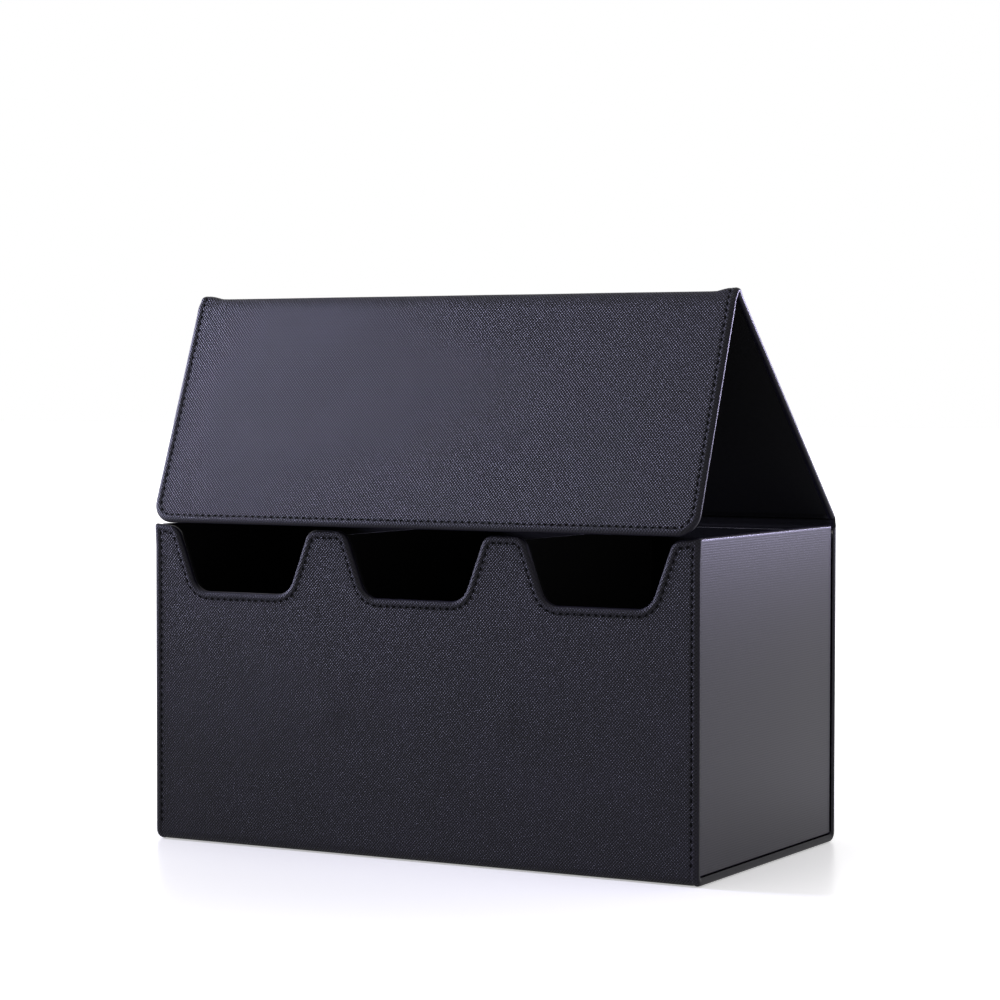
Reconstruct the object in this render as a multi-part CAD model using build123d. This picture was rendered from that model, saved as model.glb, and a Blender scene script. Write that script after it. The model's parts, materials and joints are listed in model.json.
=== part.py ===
from build123d import *
import os
from math import cos, radians, sin, tan

# Storage box for card slabs: a boarded tray with three bays, glued into a leather-covered
# wrap-round case whose lid and front flap fold at leather strips.
# Millimetres and degrees. +Z is up, -Y is the front, the origin is the middle of the underside.

# What goes in
slab_height = 136.5
slab_thickness = 6.5
slabs_per_bay = 21
bay_width = 88.0
bay_count = 3
depth_room = 1.5
headroom = 2.5

# Sheet materials
leather = 0.6
case_board = 2.9
lid_board = 2.0
lining = 0.4
side_board = 2.2
side_paper = 0.4
end_board = 1.6
floor_board = 2.5
floor_pad = 1.0
divider = 2.5

# Case edges
case_overhang = 1.0
case_bend = 4.5
bottom_board_inset = 1.0
outer_round = 1.4
inner_round = 0.4
corner_round = 1.5
front_drop = 1.0
lining_margin = 2.5
side_corner_round = 2.0
side_top_round = 0.35

# Thumb notches in the front
notch_depth = 29.4
notch_margin = 19.0
notch_flare = 20.0
notch_floor_round = 9.0
tab_round = 6.0
end_board_reveal = 1.0

# Dividers and pads
divider_drop = 2.5
divider_round = 1.0
pad_clearance = 0.3
back_wall_drop = 2.5

# Lid, flap and their fold strips
lid_rest_angle = 43.4
flap_share = 0.48
lid_gap = 0.1
flap_gap = 0.5
flap_rest_gap = 1.8
flap_corner_round = 10.0
rear_strip = 4.0
rear_strip_rest = 76.0
ridge_strip = 7.0
ridge_fold = 94.0
hinge_inset = 1.3
crease_gap = 1.3
strip_nose = 0.5
strip_end_inset = 0.6

# Closure
magnet_diameter = 15.0
magnet_thickness = 1.2
keeper_thickness = 1.0
magnet_setback = 29.1
pocket_clearance = 0.15

# Widths
bay_pitch = bay_width + divider
inner_width = bay_count * bay_width + (bay_count - 1) * divider
tray_width = inner_width + 2 * (lining + side_board + side_paper)
case_width = tray_width + 2 * case_overhang

# Thumb notch floors
notch_floor_width = bay_width - 2 * notch_margin

# Depths
case_panel = leather + case_board
end_wall = end_board + lining
inner_depth = slabs_per_bay * slab_thickness + depth_room
tray_depth = inner_depth + 2 * end_wall
case_depth = tray_depth + 2 * case_panel
front_face = -case_depth / 2
back_face = case_depth / 2

# Heights
floor_top = case_panel + floor_board
pad_top = floor_top + floor_pad
side_top = pad_top + slab_height + headroom
front_top = side_top - front_drop
divider_top = front_top - divider_drop
back_wall_top = side_top - back_wall_drop

# Lid panel and strip build-up
lid_panel = leather + lid_board + lining
half_lid = lid_panel / 2
strip = leather + lining
half_strip = strip / 2


def step(point, angle, length):
    """Point reached from a crease, going forward at an angle above the level."""
    return (point[0] - length * cos(radians(angle)), point[1] + length * sin(radians(angle)))


# Creases as (y, z): shut first, which sets the lid's length, and then raised as a tent
flap_rest_lean = flap_share * lid_rest_angle
lid_shut_height = side_top + lid_gap + half_lid
rear_strip_shut = rear_strip_rest - lid_rest_angle
rear_crease = (
    back_face - hinge_inset,
    lid_shut_height - rear_strip * sin(radians(rear_strip_shut)),
)
lid_crease_shut = step(rear_crease, rear_strip_shut, rear_strip)
flap_shut = front_face - flap_gap - half_lid
ridge_shut = flap_shut + ridge_strip * cos(radians(ridge_fold))
lid_length = lid_crease_shut[0] - ridge_shut
lid_crease = step(rear_crease, rear_strip_rest, rear_strip)
ridge_crease = step(lid_crease, lid_rest_angle, lid_length)
ridge_strip_angle = lid_rest_angle - ridge_fold
flap_crease = step(ridge_crease, ridge_strip_angle, ridge_strip)
flap_angle = flap_rest_lean - 90
flap_edge_height = front_top + flap_rest_gap + half_lid
flap_length = (flap_crease[1] - flap_edge_height) / cos(radians(flap_rest_lean)) + half_lid
magnet_drop = flap_length - magnet_setback
keeper_height = lid_shut_height - ridge_strip * sin(radians(ridge_fold)) - magnet_drop
back_top = rear_crease[1] - crease_gap


def block(x_span, y_span, z_span):
    """Rectangular solid between two limits on each axis."""
    size = [high - low for low, high in (x_span, y_span, z_span)]
    corner = [low for low, high in (x_span, y_span, z_span)]
    return Pos(*corner) * Box(*size, align=Align.MIN)


def even(half):
    """Span that is centred on zero."""
    return (-half, half)


def near(value, target):
    return abs(value - target) < 0.01


def crease_plane(crease, angle):
    """Frame of a folding panel: X across, Y away from its crease, Z out of its leather face."""
    turn = radians(angle)
    return Plane((0, crease[0], crease[1]), x_dir=(-1, 0, 0), z_dir=(0, sin(turn), cos(turn)))


def upright_plane(inner_face, outward):
    """Frame of a fixed upright panel: Y up, Z out of the box from its inner face."""
    return Plane((0, inner_face, 0), x_dir=(-outward, 0, 0), z_dir=(0, outward, 0))


def bay_centres():
    return [(index - (bay_count - 1) / 2) * bay_pitch for index in range(bay_count)]


def divider_centres():
    return [(index - (bay_count - 2) / 2) * bay_pitch for index in range(bay_count - 1)]


def notched_outline(half_width, low, inset, corner):
    """Front outline with its thumb notches, drawn in by an inset at the top and the notches."""
    top = front_top - inset
    notch_floor = front_top - notch_depth - inset
    flare = tan(radians(notch_flare))
    side_shift = inset / cos(radians(notch_flare))
    floor_half = notch_floor_width / 2 - inset * flare + side_shift
    mouth_half = floor_half + (top - notch_floor) * flare
    outline = Pos(0, (low + top) / 2) * Rectangle(2 * half_width, top - low)
    for centre in bay_centres():
        outline -= Polygon(
            (centre - floor_half, notch_floor),
            (centre + floor_half, notch_floor),
            (centre + mouth_half, top),
            (centre - mouth_half, top),
            align=None,
        )
    floors = [v for v in outline.vertices() if near(v.Y, notch_floor)]
    outline = fillet(floors, notch_floor_round + inset)
    tabs = [v for v in outline.vertices() if near(v.Y, top) and not near(abs(v.X), half_width)]
    outline = fillet(tabs, tab_round - inset)
    ends = [v for v in outline.vertices() if near(v.Y, top) and near(abs(v.X), half_width)]
    return fillet(ends, corner) if corner else outline


def rounded_rim(panel, low):
    """Rolls the leather round every edge of an upright panel but the one at its bend."""
    def rim(face):
        return [e for e in face.edges() if not (near(e.center().Y, low) and e.length > bay_width)]

    outer = panel.faces().sort_by(Axis.Z)[-1]
    panel = fillet(rim(outer), outer_round)
    inner = panel.faces().sort_by(Axis.Z)[0]
    return fillet(rim(inner), inner_round)


def keeper_discs(radius, low, high):
    """A disc behind each tab that stands over a divider."""
    height = high - low
    return [
        Pos(x, keeper_height, low) * Cylinder(radius, height, align=(Align.CENTER, Align.CENTER, Align.MIN))
        for x in divider_centres()
    ]


def front_panel():
    """Front of the case: board, steel keeper discs let into it, and leather round its edges."""
    plane = upright_plane(front_face + case_panel, -1)
    half = case_width / 2
    panel = extrude(notched_outline(half, case_bend, 0, corner_round), case_panel)
    panel = rounded_rim(panel, case_bend)
    board = extrude(notched_outline(half - leather, case_bend, leather, 0), case_board)
    skin = panel - board
    pocket_floor = case_board - keeper_thickness
    pocket_radius = magnet_diameter / 2 + pocket_clearance
    for pocket in keeper_discs(pocket_radius, pocket_floor, case_board):
        board -= pocket
    discs = Compound(keeper_discs(magnet_diameter / 2, pocket_floor, case_board))
    return {
        "front_board": plane * board,
        "front_leather": plane * skin,
        "keeper_discs": plane * discs,
    }


def back_panel():
    """Back of the case, from the bend at the floor to the lid's rear crease."""
    plane = upright_plane(back_face - case_panel, 1)
    middle = (case_bend + back_top) / 2
    panel = extrude(Pos(0, middle) * Rectangle(case_width, back_top - case_bend), case_panel)
    panel = rounded_rim(panel, case_bend)
    board_top = back_top - leather
    board_outline = Pos(0, (case_bend + board_top) / 2) * Rectangle(
        case_width - 2 * leather, board_top - case_bend
    )
    board = extrude(board_outline, case_board)
    return {"back_board": plane * board, "back_leather": plane * (panel - board)}


def bend_profile(inset, top):
    """Side view of the case's underside with its two round bends, open end up."""
    half = case_depth / 2 - inset
    radius = case_bend - inset
    profile = Pos(0, (inset + top) / 2) * Rectangle(2 * half, top - inset)
    corners = [v for v in profile.vertices() if near(v.Y, inset)]
    return fillet(corners, radius)


def side_prism(profile, half_width):
    """Extrudes a side-view profile across the box."""
    plane = Plane((-half_width, 0, 0), x_dir=(0, 1, 0), z_dir=(1, 0, 0))
    return plane * extrude(profile, 2 * half_width)


def bottom_panel():
    """Underside of the case: board in a leather sheet that bends up to the front and back."""
    half = case_width / 2
    outer = side_prism(bend_profile(0, case_bend), half)
    low_rims = [
        e for face in (outer.faces().sort_by(Axis.X)[0], outer.faces().sort_by(Axis.X)[-1])
        for e in face.edges() if not near(e.center().Z, case_bend)
    ]
    outer = fillet(low_rims, outer_round)
    hollow = side_prism(bend_profile(leather, 2 * case_bend), half - leather)
    step_cut = block(even(case_width), even(tray_depth / 2), (case_panel, 2 * case_bend))
    end_cut = block(even(case_width), even(case_depth / 2 - leather), (case_panel, 2 * case_bend))
    skin = outer - hollow - step_cut - end_cut
    board_half = tray_depth / 2 - bottom_board_inset
    board = block(even(half - leather), even(board_half), (leather, case_panel)) & hollow
    return {"bottom_board": board, "bottom_leather": skin}


def tray_ends():
    """Front wall with the notches, plain back wall, and the lining sheet on each."""
    half = inner_width / 2
    outline = notched_outline(half, floor_top, end_board_reveal, 0)
    front = upright_plane(-inner_depth / 2, -1)
    back = upright_plane(inner_depth / 2, 1)
    plain = Pos(0, (floor_top + back_wall_top) / 2) * Rectangle(2 * half, back_wall_top - floor_top)
    nodes = {}
    for name, plane, shape in (("front", front, outline), ("back", back, plain)):
        nodes["tray_" + name + "_wall"] = plane * (Pos(0, 0, lining) * extrude(shape, end_board))
        nodes[name + "_lining"] = plane * extrude(shape, lining)
    return nodes


def side_stack(sign):
    """One side of the tray: board, lining inside, paper wrapped over the outside and the top."""
    def across(low, high):
        return (low, high) if sign > 0 else (-high, -low)

    inner = inner_width / 2
    outer = tray_width / 2
    core_top = side_top - side_paper
    core_depth = tray_depth / 2 - side_paper
    core = block(across(inner, outer - side_paper), even(core_depth), (case_panel, core_top))
    wrap = block(across(inner, outer), even(tray_depth / 2), (case_panel, side_top))

    def upright_outer(solid, x):
        return [e for e in solid.edges().filter_by(Axis.Z) if near(e.center().X, sign * x)]

    core = fillet(upright_outer(core, outer - side_paper), side_corner_round - side_paper)
    wrap = fillet(upright_outer(wrap, outer), side_corner_round)
    top_face = wrap.faces().sort_by(Axis.Z)[-1]
    outer_rim = [e for e in top_face.edges() if not near(e.center().X, sign * inner)]
    wrap = fillet(outer_rim, side_top_round)
    lining_sheet = core & block(
        across(inner, inner + lining), even(tray_depth), (case_panel, side_top)
    )
    return core - lining_sheet, lining_sheet, wrap - core


def tray_sides():
    nodes = {}
    for name, sign in (("left", -1), ("right", 1)):
        board, sheet, paper = side_stack(sign)
        nodes["tray_" + name + "_wall"] = board
        nodes[name + "_lining"] = sheet
        nodes[name + "_side_paper"] = paper
    return nodes


def tray_floor():
    """Floor board and one soft pad in each bay."""
    floor = block(even(inner_width / 2), even(tray_depth / 2), (case_panel, floor_top))
    nodes = {"tray_floor": floor}
    half_pad = bay_width / 2 - pad_clearance
    for index, centre in enumerate(bay_centres()):
        pad = block(
            (centre - half_pad, centre + half_pad),
            even(inner_depth / 2 - pad_clearance),
            (floor_top, pad_top),
        )
        nodes["floor_pad_%d" % (index + 1)] = pad
    return nodes


def dividers():
    """Covered boards between the bays, with softened top edges."""
    nodes = {}
    for index, centre in enumerate(divider_centres()):
        board = block(
            (centre - divider / 2, centre + divider / 2),
            even(inner_depth / 2),
            (floor_top, divider_top),
        )
        top = board.faces().sort_by(Axis.Z)[-1]
        nodes["divider_%d" % (index + 1)] = fillet(top.edges().filter_by(Axis.Y), divider_round)
    return nodes


def panel_outline(start, end, inset, far_round):
    """Folding panel's outline from its crease edge to its far edge."""
    low = start + inset
    high = end - inset
    outline = Pos(0, (low + high) / 2) * Rectangle(case_width - 2 * inset, high - low)
    if far_round > inset:
        corners = [v for v in outline.vertices() if near(v.Y, high)]
        outline = fillet(corners, far_round - inset)
    return outline


def folding_panel(start, end, far_round):
    """Board with leather rolled round its edges and a lining sheet let into the back."""
    panel = Pos(0, 0, -half_lid) * extrude(panel_outline(start, end, 0, far_round), lid_panel)
    outer = panel.faces().sort_by(Axis.Z)[-1]
    panel = fillet(outer.edges(), outer_round)
    inner = panel.faces().sort_by(Axis.Z)[0]
    panel = fillet(inner.edges(), outer_round)
    board = Pos(0, 0, lining - half_lid) * extrude(
        panel_outline(start, end, leather, far_round), lid_board
    )
    sheet = Pos(0, 0, -half_lid) * extrude(
        panel_outline(start, end, lining_margin, far_round), lining
    )
    return board, panel - board - sheet, sheet


def fold_strip(length):
    """Unboarded leather between two creases, with its lining, ends just past both creases."""
    half = case_width / 2 - strip_end_inset
    span = (-strip_nose, length + strip_nose)
    skin = block(even(half), span, (lining - half_strip, half_strip))
    sheet = block(even(half), span, (-half_strip, lining - half_strip))
    return skin, sheet


def lid():
    """Rear fold strip and the lid's top panel."""
    skin, sheet = fold_strip(rear_strip)
    strip_plane = crease_plane(rear_crease, rear_strip_rest)
    nodes = {"rear_strip_leather": strip_plane * skin, "rear_strip_lining": strip_plane * sheet}
    board, skin, sheet = folding_panel(crease_gap, lid_length - crease_gap, 0)
    lid_plane = crease_plane(lid_crease, lid_rest_angle)
    nodes["lid_board"] = lid_plane * board
    nodes["lid_leather"] = lid_plane * skin
    nodes["lid_lining"] = lid_plane * sheet
    return nodes


def flap():
    """Ridge fold strip and the flap with its two magnets."""
    skin, sheet = fold_strip(ridge_strip)
    strip_plane = crease_plane(ridge_crease, ridge_strip_angle)
    nodes = {"ridge_strip_leather": strip_plane * skin, "ridge_strip_lining": strip_plane * sheet}
    board, skin, sheet = folding_panel(crease_gap, flap_length, flap_corner_round)
    seat = lining - half_lid

    def discs(radius):
        return [
            Pos(x, magnet_drop, seat)
            * Cylinder(radius, magnet_thickness, align=(Align.CENTER, Align.CENTER, Align.MIN))
            for x in divider_centres()
        ]

    for pocket in discs(magnet_diameter / 2 + pocket_clearance):
        board -= pocket
    plane = crease_plane(flap_crease, flap_angle)
    nodes["flap_board"] = plane * board
    nodes["flap_leather"] = plane * skin
    nodes["flap_lining"] = plane * sheet
    nodes["flap_magnets"] = plane * Compound(discs(magnet_diameter / 2))
    return nodes


os.makedirs("parts", exist_ok=True)
for make in (bottom_panel, front_panel, back_panel, tray_floor, tray_ends, tray_sides, dividers, lid, flap):
    for node, shape in make().items():
        export_step(shape, "parts/" + node + ".step")

print("case %.1f x %.1f x %.1f" % (case_width, case_depth, side_top))
for name, crease in (
    ("rear", rear_crease), ("lid", lid_crease), ("ridge", ridge_crease), ("flap", flap_crease)
):
    print("%s crease y %.4f z %.4f" % (name, crease[0], crease[1]))
print("lid length %.2f, flap length %.2f, flap lean %.2f" % (lid_length, flap_length, flap_rest_lean))
print("flap tuck ratio %.4f" % (flap_share - 1))
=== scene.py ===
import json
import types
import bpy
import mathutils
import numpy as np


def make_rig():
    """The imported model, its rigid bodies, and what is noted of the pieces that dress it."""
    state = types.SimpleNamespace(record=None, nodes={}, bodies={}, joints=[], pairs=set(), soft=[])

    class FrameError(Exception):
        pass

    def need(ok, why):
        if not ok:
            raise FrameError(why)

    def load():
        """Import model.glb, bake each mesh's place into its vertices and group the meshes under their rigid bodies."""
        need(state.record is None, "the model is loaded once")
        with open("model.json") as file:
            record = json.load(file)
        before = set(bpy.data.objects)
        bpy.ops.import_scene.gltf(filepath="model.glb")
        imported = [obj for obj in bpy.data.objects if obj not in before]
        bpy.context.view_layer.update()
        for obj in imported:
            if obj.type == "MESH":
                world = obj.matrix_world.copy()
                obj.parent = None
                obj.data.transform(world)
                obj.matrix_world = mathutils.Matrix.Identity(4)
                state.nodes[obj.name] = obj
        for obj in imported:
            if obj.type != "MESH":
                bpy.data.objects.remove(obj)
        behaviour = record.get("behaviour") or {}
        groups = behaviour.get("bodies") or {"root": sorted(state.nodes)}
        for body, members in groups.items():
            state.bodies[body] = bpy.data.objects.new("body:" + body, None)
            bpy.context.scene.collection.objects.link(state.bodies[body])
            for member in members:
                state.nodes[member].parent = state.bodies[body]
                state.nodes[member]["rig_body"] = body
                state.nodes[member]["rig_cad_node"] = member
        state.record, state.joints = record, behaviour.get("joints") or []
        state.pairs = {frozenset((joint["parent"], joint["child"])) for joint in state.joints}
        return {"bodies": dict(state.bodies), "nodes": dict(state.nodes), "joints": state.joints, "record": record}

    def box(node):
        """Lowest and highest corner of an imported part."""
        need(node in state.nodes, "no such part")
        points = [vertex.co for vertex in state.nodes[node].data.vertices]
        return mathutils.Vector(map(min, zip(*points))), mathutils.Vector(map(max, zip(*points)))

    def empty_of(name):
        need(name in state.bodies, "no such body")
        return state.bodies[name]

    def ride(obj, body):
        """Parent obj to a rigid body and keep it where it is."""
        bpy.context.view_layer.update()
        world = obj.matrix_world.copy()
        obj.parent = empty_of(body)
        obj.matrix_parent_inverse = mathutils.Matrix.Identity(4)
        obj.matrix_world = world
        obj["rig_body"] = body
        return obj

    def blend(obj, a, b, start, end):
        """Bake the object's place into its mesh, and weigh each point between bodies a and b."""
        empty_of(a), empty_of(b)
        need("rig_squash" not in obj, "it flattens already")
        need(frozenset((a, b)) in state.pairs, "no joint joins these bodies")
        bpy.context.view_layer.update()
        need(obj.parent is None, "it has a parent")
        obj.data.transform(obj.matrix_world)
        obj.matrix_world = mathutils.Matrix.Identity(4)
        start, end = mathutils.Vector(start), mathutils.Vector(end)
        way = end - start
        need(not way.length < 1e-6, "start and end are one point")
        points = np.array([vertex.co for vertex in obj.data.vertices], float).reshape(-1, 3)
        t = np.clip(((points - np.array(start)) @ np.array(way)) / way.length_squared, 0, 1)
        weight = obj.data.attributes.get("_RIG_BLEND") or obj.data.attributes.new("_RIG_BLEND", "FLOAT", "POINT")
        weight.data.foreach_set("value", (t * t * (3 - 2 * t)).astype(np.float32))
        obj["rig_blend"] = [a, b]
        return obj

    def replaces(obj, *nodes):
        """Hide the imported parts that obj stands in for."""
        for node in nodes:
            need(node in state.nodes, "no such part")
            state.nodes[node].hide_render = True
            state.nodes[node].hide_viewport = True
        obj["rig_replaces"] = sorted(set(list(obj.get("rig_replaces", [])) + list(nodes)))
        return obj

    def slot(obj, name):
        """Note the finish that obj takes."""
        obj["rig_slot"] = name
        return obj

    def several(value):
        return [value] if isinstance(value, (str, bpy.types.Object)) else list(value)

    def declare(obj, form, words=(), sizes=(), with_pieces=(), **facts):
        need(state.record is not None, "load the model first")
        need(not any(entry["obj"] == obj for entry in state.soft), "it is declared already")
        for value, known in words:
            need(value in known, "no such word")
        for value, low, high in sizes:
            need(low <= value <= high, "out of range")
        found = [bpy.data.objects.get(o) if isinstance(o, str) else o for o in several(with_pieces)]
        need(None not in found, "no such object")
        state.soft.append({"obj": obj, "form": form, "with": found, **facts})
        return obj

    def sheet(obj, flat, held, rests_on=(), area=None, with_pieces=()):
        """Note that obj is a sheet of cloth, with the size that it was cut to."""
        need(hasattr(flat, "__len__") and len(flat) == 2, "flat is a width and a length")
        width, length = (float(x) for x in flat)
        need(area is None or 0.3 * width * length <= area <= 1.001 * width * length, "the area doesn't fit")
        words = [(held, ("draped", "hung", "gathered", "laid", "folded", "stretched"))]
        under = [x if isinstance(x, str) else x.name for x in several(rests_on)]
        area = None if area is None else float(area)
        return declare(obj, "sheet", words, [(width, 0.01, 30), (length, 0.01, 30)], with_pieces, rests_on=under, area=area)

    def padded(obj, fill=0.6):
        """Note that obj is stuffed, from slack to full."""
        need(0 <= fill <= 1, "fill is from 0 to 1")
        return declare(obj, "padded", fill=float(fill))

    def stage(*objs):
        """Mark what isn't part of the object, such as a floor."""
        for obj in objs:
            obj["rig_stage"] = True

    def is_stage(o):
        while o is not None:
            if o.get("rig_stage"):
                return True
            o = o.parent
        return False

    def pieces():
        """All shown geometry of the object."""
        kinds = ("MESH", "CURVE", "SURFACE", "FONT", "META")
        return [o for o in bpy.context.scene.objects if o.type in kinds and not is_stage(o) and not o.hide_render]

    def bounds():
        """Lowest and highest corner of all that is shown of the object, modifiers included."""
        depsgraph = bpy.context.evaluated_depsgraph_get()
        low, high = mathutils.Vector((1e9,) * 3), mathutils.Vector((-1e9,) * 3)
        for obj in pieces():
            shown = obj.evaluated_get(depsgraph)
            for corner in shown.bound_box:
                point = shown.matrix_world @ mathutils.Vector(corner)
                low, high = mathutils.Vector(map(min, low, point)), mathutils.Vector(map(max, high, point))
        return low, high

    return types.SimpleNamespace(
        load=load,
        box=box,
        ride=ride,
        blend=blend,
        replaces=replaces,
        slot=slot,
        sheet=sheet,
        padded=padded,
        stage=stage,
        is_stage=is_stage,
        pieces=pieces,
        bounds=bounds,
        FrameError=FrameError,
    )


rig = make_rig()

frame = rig.load()
import bpy
import json
import math
import numpy as np
from mathutils import Vector, noise
from mathutils.geometry import delaunay_2d_cdt

cadLow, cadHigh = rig.bounds()
mm = 0.001                                        # sizes below are in millimetres
nodes = frame["nodes"]
print("frame loaded:", len(nodes), "nodes")


# Small tools

def boxMm(node):
    low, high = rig.box(node)
    return low / mm, high / mm


def creaseAt(joint):
    found = next(j for j in frame["joints"] if j["name"] == joint)
    return Vector(found["pos_m"]) / mm


def linear(hexColour):
    parts = [int(hexColour[i:i + 2], 16) / 255 for i in (1, 3, 5)]
    return [c / 12.92 if c <= 0.04045 else ((c + 0.055) / 1.055) ** 2.4 for c in parts] + [1.0]


def smooth(low, high, value):
    t = min(1.0, max(0.0, (value - low) / (high - low)))
    return t * t * (3 - 2 * t)


def spaced(low, high, step):
    count = max(1, round(abs(high - low) / step))
    return [low + (high - low) * i / count for i in range(count + 1)]


def setInputs(tree, node, inputs):
    for key, value in inputs.items():
        if isinstance(value, bpy.types.NodeSocket):
            tree.links.new(value, node.inputs[key])
        else:
            node.inputs[key].default_value = value


def addNode(tree, kind, settings=None, inputs=None):
    node = tree.nodes.new(kind)
    for name, value in (settings or {}).items():
        setattr(node, name, value)
    setInputs(tree, node, inputs or {})
    return node


mixBy, mixA, mixB, mixOut = 0, 6, 7, 2            # sockets of a mix node that blends colours


def newMaterial(name):
    material = bpy.data.materials.new(name)
    material.use_nodes = True
    tree = material.node_tree
    return material, tree, tree.nodes["Principled BSDF"]


def grainedMaterial(name, look, size, detail):
    # with a fine noise of this size in millimetres, which may also spread the gloss
    material, tree, shader = newMaterial(name)
    place = addNode(tree, "ShaderNodeTexCoord")
    noiseNode = addNode(tree, "ShaderNodeTexNoise", None,
                        {"Vector": place.outputs["Object"], "Scale": 1 / (size * mm), "Detail": detail})
    grain, rough = noiseNode.outputs["Fac"], look["roughness"]
    if "glossSpread" in look:
        spread = look["glossSpread"]
        gloss = addNode(tree, "ShaderNodeMapRange", None,
                        {"Value": grain, "To Min": rough - spread, "To Max": rough + spread})
        rough = gloss.outputs[0]
    setInputs(tree, shader, {"Roughness": rough})
    return material, tree, shader, grain


def makePiece(name, verts, faces, materials, sheetMm=None, faceSlots=None):
    mesh = bpy.data.meshes.new(name)
    mesh.from_pydata([v * mm for v in verts], [], faces)
    for material in materials:
        mesh.materials.append(material)
    for index, face in enumerate(mesh.polygons):
        face.use_smooth = True
        face.material_index = faceSlots[index] if faceSlots else 0
    if sheetMm:
        store = mesh.attributes.new("sheetMm", "FLOAT_VECTOR", "POINT")
        store.data.foreach_set("vector", [c for p in sheetMm for c in p])
    piece = bpy.data.objects.new(name, mesh)
    bpy.context.scene.collection.objects.link(piece)
    return piece


def gridFaces(rows, wide):
    return [(j * wide + i, j * wide + i + 1, (j + 1) * wide + i + 1, (j + 1) * wide + i)
            for j in range(rows - 1) for i in range(wide - 1)]


# Materials

# Polyurethane leather cloth, pressed between rollers with a diagonal canvas emboss: satin black; each raised dot
# is painted lighter, partly for the roller's polish and partly as a painted highlight, and the valleys are painted
# dark as painted shade, and dull
leatherLook = {
    # the valley colour is painted shade; the dot colour is partly the polish and partly a painted highlight
    "valley": "#08080a", "dot": "#1e1d26", "worn": "#24222d",
    "dotPitch": 1.44,                             # across the sheet
    "rowPitch": 0.77,                             # between rows, which are shifted by half a dot
    "lean": 0.5,                                  # share of one diagonal against the other
    "dotRim": 0.45,                               # dots end in a clear rim, at this share of the height
    "depth": 0.38, "roughness": 0.33, "valleyRoughness": 0.75, "ior": 1.47, "specular": 0.155,
    "mottle": 26.0,                               # size of the faint cloudiness
    "mottleFrom": 0.45, "mottleTo": 0.8, "mottleShare": 0.25,
}


def embossedLeather():
    look = leatherLook
    material, tree, shader = newMaterial("polyurethaneLeatherCanvasEmboss")
    place = addNode(tree, "ShaderNodeAttribute", {"attribute_name": "sheetMm"})
    axes = addNode(tree, "ShaderNodeSeparateXYZ", None, {0: place.outputs["Vector"]})
    turn = 2 * math.pi
    across, along = (addNode(tree, "ShaderNodeMath", {"operation": "MULTIPLY"},
                             {0: axes.outputs[axis], 1: turn / pitch})
                     for axis, pitch in (("X", look["dotPitch"]), ("Y", 2 * look["rowPitch"])))
    waves = []
    for operation in ("ADD", "SUBTRACT"):
        phase = addNode(tree, "ShaderNodeMath", {"operation": operation},
                        {0: across.outputs[0], 1: along.outputs[0]})
        waves.append(addNode(tree, "ShaderNodeMath", {"operation": "COSINE"}, {0: phase.outputs[0]}))
    strong = addNode(tree, "ShaderNodeMath", {"operation": "MULTIPLY"},
                     {0: waves[0].outputs[0], 1: look["lean"]})
    weave = addNode(tree, "ShaderNodeMath", {"operation": "MULTIPLY_ADD"},
                    {0: waves[1].outputs[0], 1: 1 - look["lean"], 2: strong.outputs[0]})
    flatter = addNode(tree, "ShaderNodeMath", {"operation": "MULTIPLY"},
                      {0: weave.outputs[0], 1: axes.outputs["Z"]})   # pressed flat in the folds
    height = addNode(tree, "ShaderNodeMapRange", None,
                     {"Value": flatter.outputs[0], "From Min": -1.0, "From Max": 1.0})
    cloud = addNode(tree, "ShaderNodeTexNoise", {"noise_dimensions": "2D"},
                    {"Vector": place.outputs["Vector"], "Scale": 1 / look["mottle"], "Detail": 3.0})
    raised = addNode(tree, "ShaderNodeMapRange", None,
                     {"Value": flatter.outputs[0], "From Min": -look["dotRim"], "From Max": look["dotRim"]})
    # dots painted lighter (roller polish and a painted highlight), valleys painted darker (painted shade)
    dotHighlightValleyShade = addNode(tree, "ShaderNodeMix", {"data_type": "RGBA"},
                   {mixBy: raised.outputs[0], mixA: linear(look["valley"]), mixB: linear(look["dot"])})
    worn = addNode(tree, "ShaderNodeMapRange", None,
                   {"Value": cloud.outputs["Fac"], "From Min": look["mottleFrom"],
                    "From Max": look["mottleTo"], "To Max": look["mottleShare"]})
    colour = addNode(tree, "ShaderNodeMix", {"data_type": "RGBA"},
                     {mixBy: worn.outputs[0], mixA: dotHighlightValleyShade.outputs[mixOut], mixB: linear(look["worn"])})
    gloss = addNode(tree, "ShaderNodeMapRange", None,
                    {"Value": raised.outputs[0], "To Min": look["valleyRoughness"],
                     "To Max": look["roughness"]})
    bump = addNode(tree, "ShaderNodeBump", None,
                   {"Height": height.outputs[0], "Strength": 1.0, "Distance": look["depth"] * mm})
    setInputs(tree, shader, {"Base Color": colour.outputs[mixOut], "Roughness": gloss.outputs[0],
                             "Normal": bump.outputs[0], "IOR": look["ior"],
                             "Specular IOR Level": look["specular"]})
    return material


# The same leather cloth turned over the board's edge and pressed: the grain is stretched out, so it is
# smoother and shines as one thin line
edgeLook = {"dark": "#0b0a10", "light": "#181622", "stretch": 5.0, "roughness": 0.44, "glossSpread": 0.04,
            "ior": 1.47, "specular": 0.13}


def turnedLeather():
    look = edgeLook
    material, tree, shader, grain = grainedMaterial("polyurethaneLeatherTurnedEdge", look,
                                                     look["stretch"], 4.0)
    colour = addNode(tree, "ShaderNodeMix", {"data_type": "RGBA"},
                     {mixBy: grain, mixA: linear(look["dark"]), mixB: linear(look["light"])})
    setInputs(tree, shader, {"Base Color": colour.outputs[mixOut], "IOR": look["ior"],
                             "Specular IOR Level": look["specular"]})
    return material


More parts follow.
